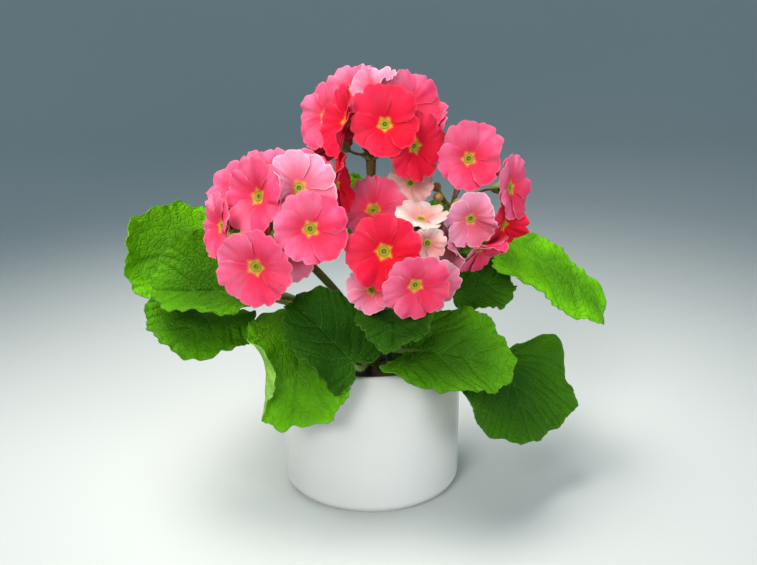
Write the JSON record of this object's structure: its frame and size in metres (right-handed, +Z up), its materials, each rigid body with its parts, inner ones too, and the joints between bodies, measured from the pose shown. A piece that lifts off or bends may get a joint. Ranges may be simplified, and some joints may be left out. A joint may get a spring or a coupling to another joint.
{
  "type": "potted primrose",
  "caption": "Potted primrose: a plain white cylindrical ceramic pot of soil, broad heart-shaped waved leaves and round heads of pink and coral notched flowers.",
  "frame": {"origin": "centre of the pot's underside, the flat face that it stands on", "axes": "+Z up, +X to the right as seen from the front, -Y to the front, where the largest flowers look"},
  "size_m": [0.3379, 0.2127, 0.293],
  "materials": {
    "pot_glaze": "smooth white glaze, softly glossy",
    "compost": "crumbly and matt",
    "leaf": "veined, softly hairy and satin",
    "stem": "hairy green-brown",
    "petal_coral": "soft satin, yellow-green eye",
    "petal_rose": "soft satin, yellow-green eye",
    "petal_blush": "soft satin with pale edges, yellow-green eye",
    "petal_cream": "soft satin, yellow-green eye"
  },
  "bodies": {
    "root": {"pot": "pot_glaze", "soil": "compost", "leaf_1": "leaf", "leaf_2": "leaf", "leaf_3": "leaf", "leaf_4": "leaf", "leaf_5": "leaf", "leaf_6": "leaf", "leaf_7": "leaf", "leaf_8": "leaf", "leaf_9": "leaf", "leaf_10": "leaf", "leaf_11": "leaf", "leaf_12": "leaf", "leaf_13": "leaf", "umbel_top": "stem", "umbel_left": "stem", "umbel_right": "stem", "umbel_centre": "stem", "bloom_top_1": "petal_coral", "bloom_top_2": "petal_coral", "bloom_top_3": "petal_coral", "bloom_top_4": "petal_rose", "bloom_top_5": "petal_rose", "bloom_top_6": "petal_rose", "bloom_top_7": "petal_blush", "bloom_top_8": "petal_blush", "bloom_top_9": "petal_rose", "bloom_top_10": "petal_rose", "bloom_top_11": "petal_coral", "bloom_top_12": "petal_rose", "bloom_left_1": "petal_rose", "bloom_left_2": "petal_rose", "bloom_left_3": "petal_rose", "bloom_left_4": "petal_blush", "bloom_left_5": "petal_blush", "bloom_left_6": "petal_rose", "bloom_left_7": "petal_rose", "bloom_left_8": "petal_rose", "bloom_left_9": "petal_rose", "bloom_left_10": "petal_coral", "bloom_left_11": "petal_rose", "bloom_left_12": "petal_rose", "bloom_right_1": "petal_rose", "bloom_right_2": "petal_rose", "bloom_right_3": "petal_blush", "bloom_right_4": "petal_rose", "bloom_right_5": "petal_blush", "bloom_right_6": "petal_rose", "bloom_right_7": "petal_coral", "bloom_centre_1": "petal_coral", "bloom_centre_2": "petal_rose", "bloom_centre_3": "petal_rose", "bloom_centre_4": "petal_cream", "bloom_centre_5": "petal_cream", "bloom_centre_6": "petal_cream", "bloom_centre_7": "petal_blush", "bloom_centre_8": "petal_blush"}
  },
  "joints": []
}
